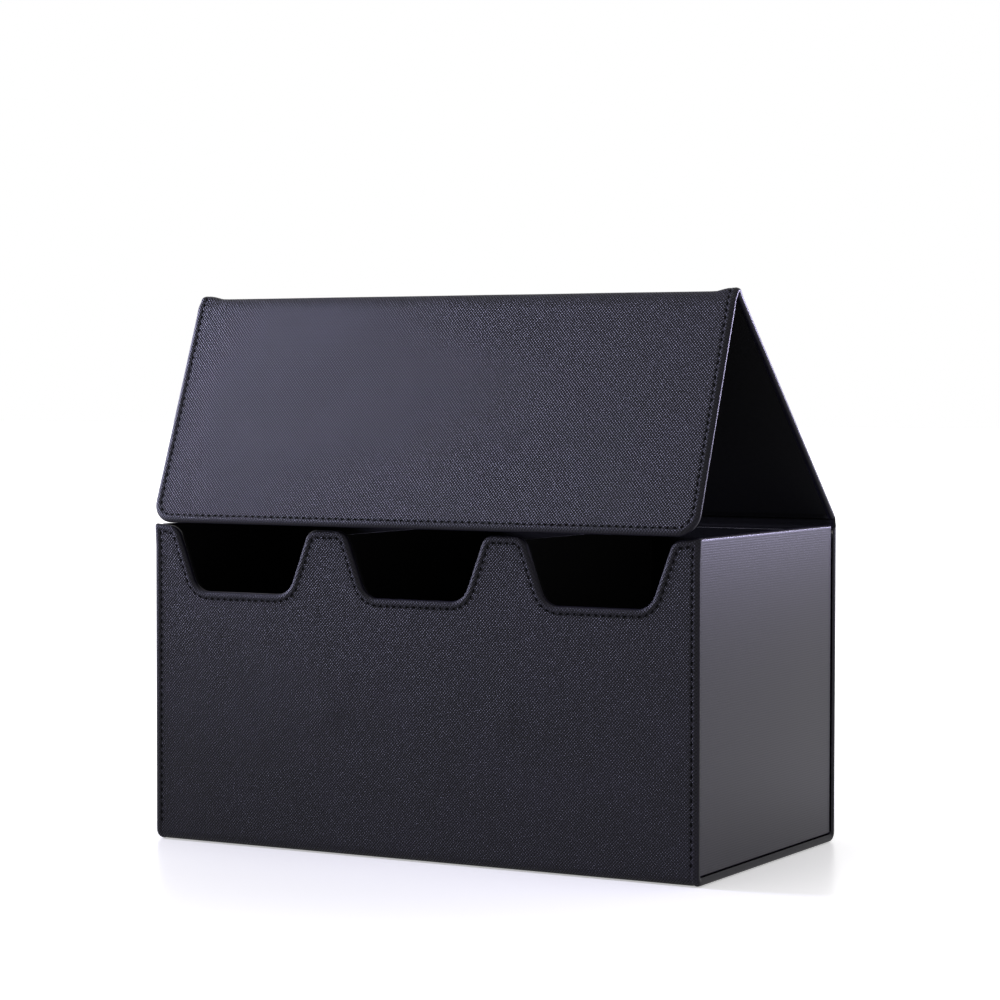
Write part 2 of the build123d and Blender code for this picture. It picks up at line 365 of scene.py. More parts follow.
# Ribbed covering paper, calendered with fine level ribs and lightly varnished: charcoal with a silky sheen; the rib
# crests are painted lighter and the troughs darker, as painted shade
paperLook = {"low": "#262431", "high": "#34313e", "ribPitch": 1.06, "ribTop": 0.6, "fibreLength": 2.381,
             "depth": 0.035, "strength": 0.3, "roughness": 0.28, "ior": 1.5, "specular": 0.09}


def ribbedPaper():
    look = paperLook
    material, tree, shader = newMaterial("ribbedCoveringPaper")
    place = addNode(tree, "ShaderNodeTexCoord")
    axes = addNode(tree, "ShaderNodeSeparateXYZ", None, {0: place.outputs["Object"]})
    phase = addNode(tree, "ShaderNodeMath", {"operation": "MULTIPLY"},
                    {0: axes.outputs["Z"], 1: 2 * math.pi / (look["ribPitch"] * mm)})
    wave = addNode(tree, "ShaderNodeMath", {"operation": "SINE"}, {0: phase.outputs[0]})
    fibre = addNode(tree, "ShaderNodeTexNoise", None,
                    {"Vector": place.outputs["Object"], "Scale": 1 / (look["fibreLength"] * mm),
                     "Detail": 4.0})
    broken = addNode(tree, "ShaderNodeMath", {"operation": "MULTIPLY"},
                     {0: wave.outputs[0], 1: fibre.outputs["Fac"]})
    height = addNode(tree, "ShaderNodeMapRange", None,
                     {"Value": broken.outputs[0], "From Min": -look["ribTop"], "From Max": look["ribTop"]})
    # rib crests painted lighter and troughs painted darker: painted shade on the ribs
    colour = addNode(tree, "ShaderNodeMix", {"data_type": "RGBA"},
                     {mixBy: height.outputs[0], mixA: linear(look["low"]), mixB: linear(look["high"])})
    bump = addNode(tree, "ShaderNodeBump", None,
                   {"Height": height.outputs[0], "Strength": look["strength"],
                    "Distance": look["depth"] * mm})
    setInputs(tree, shader, {"Base Color": colour.outputs[mixOut], "Normal": bump.outputs[0],
                             "Roughness": look["roughness"], "IOR": look["ior"],
                             "Specular IOR Level": look["specular"]})
    return material


# Microfibre suede, knitted and sanded: almost black, no gloss, a soft bloom at grazing angles
liningLook = {"deep": "#050506", "nap": "#0e0e10", "napSize": 2.2, "napDepth": 0.15, "strength": 0.25,
              "roughness": 0.93, "specular": 0.1, "sheen": 0.03, "sheenRoughness": 0.4}


def microfibreLining():
    look = liningLook
    material, tree, shader, nap = grainedMaterial("sandedMicrofibreLining", look, look["napSize"], 6.0)
    colour = addNode(tree, "ShaderNodeMix", {"data_type": "RGBA"},
                     {mixBy: nap, mixA: linear(look["deep"]), mixB: linear(look["nap"])})
    bump = addNode(tree, "ShaderNodeBump", None,
                   {"Height": nap, "Strength": look["strength"], "Distance": look["napDepth"] * mm})
    setInputs(tree, shader, {"Base Color": colour.outputs[mixOut], "Normal": bump.outputs[0],
                             "Specular IOR Level": look["specular"],
                             "Sheen Weight": look["sheen"], "Sheen Roughness": look["sheenRoughness"]})
    return material


# Grey board, pressed from recycled pulp: dull grey with short darker fibres
boardLook = {"pulp": "#a9a59e", "fibre": "#7d7972", "fibreLength": 3.0, "fibreFrom": 0.4, "fibreTo": 0.68,
             "roughness": 0.9}


def greyBoard():
    look = boardLook
    material, tree, shader, fibre = grainedMaterial("pressedGreyBoard", look, look["fibreLength"], 8.0)
    share = addNode(tree, "ShaderNodeMapRange", None,
                    {"Value": fibre, "From Min": look["fibreFrom"], "From Max": look["fibreTo"]})
    colour = addNode(tree, "ShaderNodeMix", {"data_type": "RGBA"},
                     {mixBy: share.outputs[0], mixA: linear(look["pulp"]), mixB: linear(look["fibre"])})
    setInputs(tree, shader, {"Base Color": colour.outputs[mixOut]})
    return material


# Plated metal discs: zinc on the steel keepers, nickel on the magnets, both cut from sheet and left
# fine-grained, so their shine is a little uneven
metalLooks = {
    "zincPlatedSteel": {"colour": "#b4b7bd", "grain": 0.8, "roughness": 0.38, "glossSpread": 0.08},
    "nickelPlatedMagnet": {"colour": "#cfccc4", "grain": 1.4, "roughness": 0.24, "glossSpread": 0.08},
}


def platedMetal(name):
    look = metalLooks[name]
    material, tree, shader, _ = grainedMaterial(name, look, look["grain"], 3.0)
    setInputs(tree, shader, {"Base Color": linear(look["colour"]), "Metallic": 1.0})
    return material


# Spun polyester sewing thread: black, three plies twisted, a soft line of shine along the top; the grooves between the
# plies are painted darker, as painted shade
threadLook = {
    "valley": "#030304", "ply": "#09090b",
    "twist": 0.9,                                 # drawn twice as coarse as it is, to show
    "waveUnit": 0.31,                             # length of one wave of the pattern at scale 1
    "plyDepth": 0.08, "strength": 0.4, "roughness": 0.7, "specular": 0.04,
}


def sewingThread():
    look = threadLook
    material, tree, shader = newMaterial("spunPolyesterThread")
    place = addNode(tree, "ShaderNodeTexCoord")
    twist = addNode(tree, "ShaderNodeTexWave", {"bands_direction": "DIAGONAL"},
                    {"Vector": place.outputs["Object"], "Scale": look["waveUnit"] / (look["twist"] * mm)})
    # ply tops painted lighter and the grooves between them darker: painted shade in the twist
    colour = addNode(tree, "ShaderNodeMix", {"data_type": "RGBA"},
                     {mixBy: twist.outputs["Fac"], mixA: linear(look["valley"]), mixB: linear(look["ply"])})
    bump = addNode(tree, "ShaderNodeBump", None,
                   {"Height": twist.outputs["Fac"], "Strength": look["strength"],
                    "Distance": look["plyDepth"] * mm})
    setInputs(tree, shader, {"Base Color": colour.outputs[mixOut], "Normal": bump.outputs[0],
                             "Roughness": look["roughness"], "Specular IOR Level": look["specular"]})
    return material


leather = embossedLeather()
leatherEdge = turnedLeather()
paper = ribbedPaper()
lining = microfibreLining()
board = greyBoard()
thread = sewingThread()
print("materials made")


# The leather sheet: one piece of cloth, measured across (x) and along its length (s)
# s is the height on the front, falls below the floor and goes on falling up the back, over the lid and
# down the flap

frontHigh, bottomHigh, backHigh = (boxMm(panel + "_leather")[1] for panel in ("front", "bottom", "back"))
sheetHalf = frontHigh.x
halfDepth = backHigh.y
frontTop = frontHigh.z
backTop = backHigh.z
bend = bottomHigh.z                               # bend radius at the floor
quarter = bend * math.pi / 2
floorRun = 2 * (halfDepth - bend)
backBase = bend - 2 * quarter - floorRun          # s where the back starts to rise
foldLap = 4.0                                     # how far a fold's cloth runs onto each panel
backEnd = backBase - (backTop - foldLap - bend)   # the case sheet ends here and the rear fold goes on
caseThick, lidThick = 3.5, 3.0                    # of a panel, from its face to its back

# the turned edge as (distance in from the edge, height over the face): seam and cushion, then the roll,
# the flat edge and the cloth turned in
faceRim = [(5.4, 0.0), (4.5, 0.0), (3.95, -0.03), (3.6, -0.1), (3.3, -0.15), (3.0, -0.1), (2.7, 0.03),
           (2.25, 0.15), (1.75, 0.16), (1.25, 0.04), (0.8, -0.16), (0.4, -0.45)]
caseRim = faceRim + [(0.12, -0.78), (0.0, -1.1), (-0.04, -1.45), (-0.04, -1.8), (0.0, -2.15), (0.08, -2.45),
                     (0.2, -2.75), (0.36, -3.05), (0.5, -3.3), (0.56, -3.5), (2.3, -3.5), (2.5, -3.3)]
lidRim = faceRim + [(0.12, -0.75), (0.0, -1.05), (-0.04, -1.35), (-0.04, -1.6), (0.0, -1.85), (0.08, -2.1),
                    (0.2, -2.35), (0.36, -2.6), (0.55, -2.8), (0.9, -2.96), (2.3, -3.0), (2.5, -2.8)]
rollFrom = len(faceRim) - 1                       # from this ring on the grain is pressed smooth
faceDown = -0.5                                   # the face ends at this height in the roll
clothSlots = {"grained": 0, "pressed": 1, "lined": 2}                # material slots of a cloth piece


def turnedIn(rim):
    # how much wider the cloth is cut than the finished edge
    return sum(math.dist(a, b) for a, b in zip(rim, rim[1:])) - rim[0][0]


def casePoint(x, s, rise):
    if s >= bend:                                 # front
        return Vector((x, -halfDepth - rise, s))
    if s > bend - quarter:                        # front bend
        a, reach = (bend - s) / bend, bend + rise
        return Vector((x, bend - halfDepth - math.cos(a) * reach, bend - math.sin(a) * reach))
    if s > bend - quarter - floorRun:             # under the floor
        return Vector((x, bend - halfDepth + (bend - quarter - s), -rise))
    if s > backBase:                              # back bend
        a, reach = (bend - quarter - floorRun - s) / bend, bend + rise
        return Vector((x, halfDepth - bend + math.sin(a) * reach, bend - math.cos(a) * reach))
    return Vector((x, halfDepth + rise, bend + backBase - s))


def filletPath(corners, steps):
    # corners are (x, s, radius); every corner gives the same number of points at any inset
    path = []
    for (ax, ay, _), (bx, by, radius), (cx, cy, _) in zip(corners, corners[1:], corners[2:]):
        corner = Vector((bx, by))
        back = (Vector((ax, ay)) - corner).normalized()
        ahead = (Vector((cx, cy)) - corner).normalized()
        half = back.angle(ahead) / 2
        reach = radius / math.tan(half)
        centre = corner + (back + ahead).normalized() * (radius / math.sin(half))
        start = corner + back * reach - centre
        end = corner + ahead * reach - centre
        sweep = start.angle_signed(end)
        for i in range(steps + 1):
            a = -sweep * i / steps
            path.append((centre.x + start.x * math.cos(a) - start.y * math.sin(a),
                         centre.y + start.x * math.sin(a) + start.y * math.cos(a)))
    return path


def refine(path, counts):
    # straight runs get extra points, as many at every inset
    out = [path[0]]
    for (a, b), count in zip(zip(path, path[1:]), counts):
        out += [(a[0] + (b[0] - a[0]) * i / count, a[1] + (b[1] - a[1]) * i / count)
                for i in range(1, count + 1)]
    return out


notch = {"pitch": 90.5, "depth": 29.4, "floorHalf": 25.0, "flare": 20.0, "floorRound": 9.0, "tabRound": 6.0,
         "count": 3, "arcSteps": 8,
         "cornerRound": 1.0, "leastRound": 0.25, "cornerLift": 1.1, "cornerFlare": 0.4}


def frontTopPath(inset):
    top = frontTop - inset
    flare = math.tan(math.radians(notch["flare"]))
    floor = top - notch["depth"]
    floorHalf = notch["floorHalf"] - inset * flare + inset / math.cos(math.radians(notch["flare"]))
    mouthHalf = floorHalf + notch["depth"] * flare
    tab, low = notch["tabRound"] - inset, notch["floorRound"] + inset
    end = max(notch["leastRound"], notch["cornerRound"] - inset)
    side = sheetHalf - inset + notch["cornerFlare"]
    ear = top + notch["cornerLift"]               # the outer corners curl a little
    corners = [(-side, 0, 0), (-side, ear, end)]
    for i in range(notch["count"]):
        c = (i - (notch["count"] - 1) / 2) * notch["pitch"]
        corners += [(c - mouthHalf, top, tab), (c - floorHalf, floor, low),
                    (c + floorHalf, floor, low), (c + mouthHalf, top, tab)]
    corners += [(side, ear, end), (side, 0, 0)]
    return filletPath(corners, notch["arcSteps"])


flatStep, bendStep, panelStep, edgeStep = 4.0, 0.6, 3.5, 2.5         # between rows of the mesh
sideRows = (spaced(backEnd, backBase - 0.1, flatStep) + spaced(backBase, backBase + quarter, bendStep)
            + spaced(backBase + quarter + flatStep, bend - quarter - flatStep, flatStep)
            + spaced(bend - quarter, bend, bendStep)
            + spaced(bend + 3, frontTop - 9, panelStep))             # up to below the corners
outerTop = frontTopPath(0)
topCounts = [max(1, round(math.dist(a, b) / edgeStep)) for a, b in zip(outerTop, outerTop[1:])]


def caseEdge(inset):
    top = refine(frontTopPath(inset), topCounts)
    return ([(inset - sheetHalf, s) for s in sideRows] + top
            + [(sheetHalf - inset, s) for s in reversed(sideRows)])


discLow, discHigh = boxMm("keeper_discs")
keeperHeight = (discLow.z + discHigh.z) / 2
glue = {"uneven": 0.10, "patch": 38.0, "layer": 2.7, "fade": 3.0,
        "discLift": 0.30, "discTop": 5.6, "discFoot": 8.6}


def sheetLift(x, s):
    # slow unevenness of glued cloth, and the two steel discs that press through the front
    level = smooth(-glue["fade"], bend, -s) * smooth(backBase - bend, backBase + glue["fade"], s)
    spot = Vector((x / glue["patch"], s / glue["patch"], glue["layer"]))
    lift = glue["uneven"] * noise.noise(spot) * (1 - level)          # the floor stays level
    for disc in (-notch["pitch"] / 2, notch["pitch"] / 2):
        far = math.hypot(x - disc, s - keeperHeight)
        lift += glue["discLift"] * (1 - smooth(glue["discTop"], glue["discFoot"], far))
    return lift


rimFade = {"liftFrom": 0.5, "liftTo": 5.0, "grainFrom": 1.2, "grainTo": 3.2, "leastGrain": 0.4}


def rimLift(x, s, inset, rise):
    # the unevenness dies out toward the edge, and the turned edge has none
    if rise <= faceDown:
        return 0.0
    return sheetLift(x, s) * smooth(rimFade["liftFrom"], rimFade["liftTo"], inset)


def rimGrain(inset):
    # the emboss is flatter near the edge
    least = rimFade["leastGrain"]
    return least + (1 - least) * smooth(rimFade["grainFrom"], rimFade["grainTo"], inset)


def gridInside(boundary, rows, columns, keepOff):
    # the grid's points that lie inside the boundary and not too near it
    tiny = 1e-9
    edge = np.array(boundary)
    after = np.roll(edge, -1, axis=0)
    grid = np.array([(x, s) for s in rows for x in columns])
    run = after - edge
    gap = grid[:, None, :] - edge[None, :, :]
    t = np.clip((gap * run).sum(2) / np.maximum((run * run).sum(1), tiny), 0, 1)
    far = np.linalg.norm(gap - t[:, :, None] * run, axis=2).min(1)
    crosses = (edge[:, 1] > grid[:, None, 1]) != (after[:, 1] > grid[:, None, 1])
    slope = run[:, 0] / np.where(np.abs(run[:, 1]) < tiny, tiny, run[:, 1])
    right = grid[:, None, 0] < edge[:, 0] + slope * (grid[:, None, 1] - edge[:, 1])
    inside = (crosses & right).sum(1) % 2 == 1
    return [tuple(p) for p in grid[inside & (far > keepOff)]]


gridInset, columnStep, keepOff = 7.0, 3.4, 1.2    # the grid of a sheet's flat middle
columns = spaced(gridInset - sheetHalf, sheetHalf - gridInset, columnStep)


def rolledSheet(name, edge, tail, rim, place, rows):
    # the turned edge as quads along its path, then the flat middle as triangles on a grid
    verts, faces, slots, sheetMm = [], [], [], []

    def add(x, s, rise, grain=1.0):
        verts.append(place(x, s, rise))
        sheetMm.append((x, s, grain))
        return len(verts) - 1

    loops = [[add(x, s, rise + rimLift(x, s, inset, rise), rimGrain(inset)) for x, s in edge(inset)]
             for inset, rise in rim]
    for ring, (inner, outer) in enumerate(zip(loops, loops[1:])):
        for k in range(len(inner) - 1):
            faces.append((outer[k], inner[k], inner[k + 1], outer[k + 1]))
            slots.append(clothSlots["pressed" if ring >= rollFrom else "grained"])
    boundary = edge(rim[0][0]) + tail
    middle = gridInside(boundary, rows, columns, keepOff)
    ids = loops[0] + [add(x, s, sheetLift(x, s)) for x, s in tail + middle]
    flat = [Vector(p) for p in boundary + middle]
    insideOnly, nearest = 1, 1e-5
    found = delaunay_2d_cdt(flat, [], [list(range(len(boundary)))], insideOnly, nearest)
    triangles, origins = found[2:4]
    for triangle in triangles:
        faces.append(tuple(ids[origins[v][0]] for v in triangle))
        slots.append(clothSlots["grained"])
    return makePiece(name, verts, faces, [leather, leatherEdge], sheetMm, slots)


innerEnds = [(x, backEnd) for x in reversed(columns)]
caseRows = sideRows + spaced(frontTop - 8, frontTop - 6, 2)
caseLeather = rolledSheet("caseLeather", caseEdge, innerEnds, caseRim, casePoint, caseRows)
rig.replaces(caseLeather, "front_leather", "bottom_leather", "back_leather")
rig.slot(caseLeather, "leather")
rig.ride(caseLeather, "box")
cutWide, cutLong = 2 * (sheetHalf + turnedIn(caseRim)), frontTop - backEnd + turnedIn(caseRim)
mouth = notch["floorHalf"] * 2 + notch["depth"] * math.tan(math.radians(notch["flare"]))
cutOut = notch["count"] * notch["depth"] * mouth
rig.sheet(caseLeather, flat=(cutWide * mm, cutLong * mm), area=(cutWide * cutLong - cutOut) * mm * mm,
         held="stretched", rests_on=["front_board", "bottom_board", "back_board"])
print("case leather:", len(caseLeather.data.polygons), "faces")


# Folding panels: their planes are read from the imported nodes

def panelFrame(panel, crease):
    mesh = nodes[panel + "_leather"].data
    out = max(mesh.polygons, key=lambda face: face.area).normal.copy()
    out.x = 0
    out.normalize()
    inner, outer = boxMm(panel + "_lining"), boxMm(panel + "_board")
    if out.dot(outer[0] + outer[1] - inner[0] - inner[1]) < 0:       # leather side, away from the lining
        out.negate()
    along = Vector((0, -out.z, out.y))
    if along.dot(sum((v.co for v in mesh.vertices), Vector()) / len(mesh.vertices) / mm - crease) < 0:
        along.negate()
    reach = max((v.co / mm - crease).dot(along) for v in mesh.vertices)
    face = max((v.co / mm - crease).dot(out) for v in mesh.vertices)
    return {"crease": crease, "out": out, "along": along, "reach": reach, "face": face}


rearCrease, lidCrease = creaseAt("lid_hinge"), creaseAt("lid_fold")
ridgeCrease, flapCrease = creaseAt("flap_hinge"), creaseAt("flap_tuck")
lidPanel = panelFrame("lid", lidCrease)
flapPanel = panelFrame("flap", flapCrease)
creaseGap = 1.3                                   # left free beside each crease before a fold's lap starts
lapEnd = creaseGap + foldLap                      # from a crease to where its panel's own sheet starts
panelBack = -1.5                                  # the panels' inner face, measured from the crease


def onPanel(panel, reach, rise, x=0.0):
    return panel["crease"] + panel["along"] * reach + panel["out"] * rise + Vector((x, 0, 0))


def smoothLine(points, startDirection, endDirection, steps):
    # smooth line through (y, z) points, with exact directions at both ends
    spots = [Vector((p.y, p.z)) for p in points]
    ways = [Vector((startDirection.y, startDirection.z)).normalized()]
    ways += [((b - a).normalized() + (c - b).normalized()).normalized()
             for a, b, c in zip(spots, spots[1:], spots[2:])]
    ways.append(Vector((endDirection.y, endDirection.z)).normalized())
    line = []
    for i in range(len(spots) - 1):
        run = (spots[i + 1] - spots[i]).length
        for k in range(steps + (1 if i == len(spots) - 2 else 0)):
            t = k / steps
            line.append(spots[i] * (2 * t**3 - 3 * t**2 + 1) + ways[i] * run * (t**3 - 2 * t**2 + t)
                        + spots[i + 1] * (3 * t**2 - 2 * t**3) + ways[i + 1] * run * (t**3 - t**2))
    return line


sleeve = {"liningInset": 5.0, "liningStep": 12.0, "liningLift": 0.2}


def foldSheet(name, outer, inner, startS, rims, closed, flatten):
    # a cloth sleeve: leather outside, turned edges and, where closed, lining inside
    # outer and inner are matching (y, z) lines
    startRim, endRim, startThick, endThick = rims
    side = sheetHalf - sleeve["liningInset"]
    inside = spaced(side, -side, sleeve["liningStep"]) if closed else []
    verts, faces, sheetMm, slots = [], [], [], []
    s = startS
    for j, (spot, under) in enumerate(zip(outer, inner)):
        if j:
            s -= (spot - outer[j - 1]).length
        t = j / (len(outer) - 1)
        thick = startThick + (endThick - startThick) * t
        rim = [(a[0] + (b[0] - a[0]) * t, a[1] + (b[1] - a[1]) * t) for a, b in zip(startRim, endRim)]
        ring = ([(d - sheetHalf, rise) for d, rise in reversed(rim)] + [(x, 0.0) for x in columns]
                + [(sheetHalf - d, rise) for d, rise in rim]
                + [(x, sleeve["liningLift"] - thick) for x in inside])
        out = (spot - under).normalized()
        for x, rise in ring:
            inset = sheetHalf - abs(x)
            lift, grain = flatten(x, s)
            lift += rimLift(x, s, inset, rise)
            place = spot.lerp(under, -rise / thick) + out * lift * (1 + rise / thick)
            verts.append(Vector((x, place.x, place.y)))
            sheetMm.append((x, s, grain * rimGrain(inset)))
    width = len(ring)
    liningFrom = width - len(inside) - 1
    for j in range(len(outer) - 1):
        for i in range(width if closed else width - 1):
            n = (i + 1) % width
            faces.append((j * width + i, (j + 1) * width + i, (j + 1) * width + n, j * width + n))
            edge = i < len(rim) - 1 - rollFrom or liningFrom - i < len(rim) - rollFrom
            lined = closed and i >= liningFrom
            slots.append(clothSlots["lined" if lined else "pressed" if edge else "grained"])
    return makePiece(name, verts, faces, [leather, leatherEdge, lining], sheetMm, slots), s


def makeFolds(chain):
    # each fold starts on the sheet where the one before it ends
    for fold, after in zip(chain, chain[1:] + [{}]):
        fold["piece"], fold["to"] = foldSheet(fold["name"], fold["outer"], fold["inner"], fold["from"],
                                              fold["rims"], True, fold["flatten"])
        after["from"] = fold["to"]
    return chain


def plainFold(x, s):
    # no lift, and the full grain
    return 0.0, 1.0


# the rear fold, from the back over the strip to the lid: points listed beside the creases
stripDirection = (lidCrease - rearCrease).normalized()
stripOut = Vector((0, stripDirection.z, -stripDirection.y))
stripMiddle = rearCrease.lerp(lidCrease, 0.5)
lidBisect = (stripOut + lidPanel["out"]).normalized()
up = Vector((0, 0, 1))
rearOuter = [
    Vector((0, halfDepth, backTop - foldLap)),
    Vector((0, halfDepth + 0.05, backTop - 1.6)),
    Vector((0, halfDepth - 0.05, backTop + 0.3)),
    rearCrease + stripOut * 0.85,
    stripMiddle + stripOut * 0.7,
    lidCrease + lidBisect * 0.85,
    onPanel(lidPanel, 1.8, 1.32),
    onPanel(lidPanel, 3.3, lidPanel["face"] + 0.03),
    onPanel(lidPanel, lapEnd, lidPanel["face"]),
]
rearInner = [
    Vector((0, halfDepth - caseThick, backTop - foldLap)),
    Vector((0, halfDepth - caseThick, backTop - 1.6)),
    Vector((0, halfDepth - caseThick + 0.2, backTop + 0.25)),
    rearCrease - stripOut * 0.62,
    stripMiddle - stripOut * 0.55,
    lidCrease - lidBisect * 0.62,
    onPanel(lidPanel, 0.9, -1.34),
    onPanel(lidPanel, 2.6, -1.46),
    onPanel(lidPanel, lapEnd, panelBack),
]
steps = 5                                         # between two points of a fold's line
outerLine = smoothLine(rearOuter, up, lidPanel["along"], steps)
innerLine = smoothLine(rearInner, up, lidPanel["along"], steps)
half = 4 * steps                                  # both lines are parted at the strip's middle
caseToLid, lidToLid = (caseRim, lidRim, caseThick, lidThick), (lidRim, lidRim, lidThick, lidThick)
folds = makeFolds([
    {"name": "rearFoldLower", "outer": outerLine[:half + 1], "inner": innerLine[:half + 1],
     "from": backEnd, "rims": caseToLid, "flatten": plainFold, "replaces": "rear_strip_leather"},
    {"name": "rearFoldUpper", "outer": outerLine[half:], "inner": innerLine[half:],
     "rims": lidToLid, "flatten": plainFold, "replaces": "rear_strip_lining"},
])
lidStart = folds[-1]["to"]

lidLength = (ridgeCrease - lidCrease).length
lidRun = (lapEnd, lidLength - creaseGap - foldLap)
lidOuter, lidInner = ([onPanel(lidPanel, reach, rise).yz for reach in spaced(*lidRun, panelStep)]
                      for rise in (lidPanel["face"], lidPanel["face"] - lidThick))
lidLeather, ridgeStart = foldSheet("lidLeather", lidOuter, lidInner, lidStart, lidToLid, False, plainFold)

# the ridge fold, from the lid over the ridge strip to the flap
ridgeDirection = (flapCrease - ridgeCrease).normalized()
ridgeOut = Vector((0, ridgeDirection.z, -ridgeDirection.y))
ridgeMiddle = ridgeCrease.lerp(flapCrease, 0.5)
ridgeBisect = (ridgeOut + lidPanel["out"]).normalized()
ridgeOuter = [
    onPanel(lidPanel, lidRun[1], lidPanel["face"]),
    onPanel(lidPanel, lidLength - 3.0, lidPanel["face"]),
    onPanel(lidPanel, lidLength - 1.3, 1.22),
    ridgeCrease + ridgeBisect * 0.12,
    ridgeCrease + ridgeDirection * 1.3 + ridgeOut * 1.35,
    ridgeMiddle + ridgeOut * 1.95,
    flapCrease - ridgeDirection * 1.0 + ridgeOut * 1.78,
    onPanel(flapPanel, 0.7, 1.56),
    onPanel(flapPanel, 2.2, 1.54),
    onPanel(flapPanel, lapEnd, flapPanel["face"]),
]
ridgeInner = [
    onPanel(lidPanel, lidRun[1], panelBack),
    onPanel(lidPanel, lidLength - 3.0, -1.54),
    onPanel(lidPanel, lidLength - 1.2, -1.45),
    ridgeCrease - ridgeBisect * 1.1,
    ridgeCrease + ridgeDirection * 1.5 - ridgeOut * 0.7,
    ridgeMiddle - ridgeOut * 0.6,
    flapCrease - ridgeDirection * 1.0 - ridgeOut * 0.62,
    onPanel(flapPanel, 0.6, -1.1),
    onPanel(flapPanel, 1.6, -1.54),
    onPanel(flapPanel, lapEnd, panelBack),
]
outerLine = smoothLine(ridgeOuter, lidPanel["along"], flapPanel["along"], steps)
innerLine = smoothLine(ridgeInner, lidPanel["along"], flapPanel["along"], steps)
half = 5 * steps                                  # the ridge strip's middle
toRidge = 3 * steps                               # the ridge's own crease
ridgeS = ridgeStart - sum((b - a).length for a, b in zip(outerLine[:toRidge], outerLine[1:]))
# the doubled edge stands up over the ridge, and the grain is flattened along it
ridgeEnd = {"height": 1.3, "from": 4.5, "to": 11.5, "near": 0.8, "along": 4.5,
            "pressed": 0.85, "pressedFrom": 0.6, "pressedTo": 2.6}


def ridgeFold(x, s):
    far = abs(s - ridgeS)
    near = 1 - smooth(ridgeEnd["near"], ridgeEnd["along"], far)
    edge = 1 - smooth(ridgeEnd["from"], ridgeEnd["to"], sheetHalf - abs(x))
    pressed = ridgeEnd["pressed"] * (1 - smooth(ridgeEnd["pressedFrom"], ridgeEnd["pressedTo"], far))
    return ridgeEnd["height"] * near * edge, 1 - pressed


folds += makeFolds([
    {"name": "ridgeFoldUpper", "outer": outerLine[:half + 1], "inner": innerLine[:half + 1],
     "from": ridgeStart, "rims": lidToLid, "flatten": ridgeFold, "replaces": "ridge_strip_leather"},
    {"name": "ridgeFoldLower", "outer": outerLine[half:], "inner": innerLine[half:],
     "rims": lidToLid, "flatten": ridgeFold, "replaces": "ridge_strip_lining"},
])
flapStart = folds[-1]["to"]

flapShape = {"corner": 10.0, "arcSteps": 12, "edgeSteps": 72}
flapEnd = flapStart - (flapPanel["reach"] - creaseGap - foldLap)
flapRows = spaced(flapStart, flapEnd + 13, panelStep)                # down to above the corners


def flapPoint(x, s, rise):
    return onPanel(flapPanel, lapEnd + flapStart - s, flapPanel["face"] + rise, x)


def flapEdge(inset):
    low, side = flapEnd + inset, sheetHalf - inset
    radius, arc = flapShape["corner"] - inset, flapShape["arcSteps"]
    corners = [(side, flapStart, 0), (side, low, radius), (-side, low, radius), (-side, flapStart, 0)]
    end = refine(filletPath(corners, arc), [1] * arc + [flapShape["edgeSteps"]] + [1] * arc)
    return [(side, s) for s in flapRows] + end + [(-side, s) for s in reversed(flapRows)]


flapLeather = rolledSheet("flapLeather", flapEdge, [(x, flapStart) for x in columns], lidRim, flapPoint,
                          flapRows + spaced(flapEnd + 10, flapEnd + 7, 3))

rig.replaces(lidLeather, "lid_leather")
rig.ride(lidLeather, "lid")
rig.replaces(flapLeather, "flap_leather")
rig.ride(flapLeather, "flap")
crossing = 1.5                                    # cloth bends over this much on each side of a crease
turns = (("box", "rear_strip", rearCrease, -up, stripDirection),
         ("rear_strip", "lid", lidCrease, -stripDirection, lidPanel["along"]),
         ("lid", "ridge_strip", ridgeCrease, -lidPanel["along"], ridgeDirection),
         ("ridge_strip", "flap", flapCrease, -ridgeDirection, flapPanel["along"]))
for fold, (first, second, crease, before, after) in zip(folds, turns):
    fold["blend"] = (first, second, (crease + before * crossing) * mm, (crease + after * crossing) * mm)
    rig.replaces(fold["piece"], fold["replaces"])
    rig.slot(fold["piece"], "leather")
    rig.blend(fold["piece"], *fold["blend"])
for piece, long, under in ((lidLeather, lidStart - ridgeStart, "lid_board"),
                           (flapLeather, flapStart - flapEnd + turnedIn(lidRim), "flap_board")):
    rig.slot(piece, "leather")
    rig.sheet(piece, flat=(2 * (sheetHalf + turnedIn(lidRim)) * mm, long * mm), held="stretched",
             rests_on=[under])
print("lid, folds and flap made")


# Seams: lock stitches in black thread along the turned edges

seam = {
    "inset": 3.3, "pitch": 3.4, "length": 2.15, "thread": 0.62, "sink": 0.36, "slant": 0.10, "sides": 6,
    "follow": 0.8,                                # share of the cloth's unevenness that a stitch takes on
    # stations along a stitch as (share of its length, height, share of its thickness)
    "stations": ((-0.5, -0.42, 0.6), (-0.36, -0.05, 0.95), (0.0, 0.10, 1.0), (0.36, -0.05, 0.95),
                 (0.5, -0.42, 0.6)),
}


def stitchSpots(path):
    lengths = [math.dist(a, b) for a, b in zip(path, path[1:])]
    total = sum(lengths)
    count = max(1, round(total / seam["pitch"]))
    index, walked, spots = 0, 0.0, []
    for k in range(count):
        goal = (k + 0.5) * total / count
        while index < len(lengths) - 1 and walked + lengths[index] < goal:
            walked += lengths[index]
            index += 1
        t = (goal - walked) / lengths[index]
        (ax, ay), (bx, by) = path[index], path[index + 1]
        spots.append((ax + (bx - ax) * t, ay + (by - ay) * t, Vector((bx - ax, by - ay)).normalized()))
    return spots


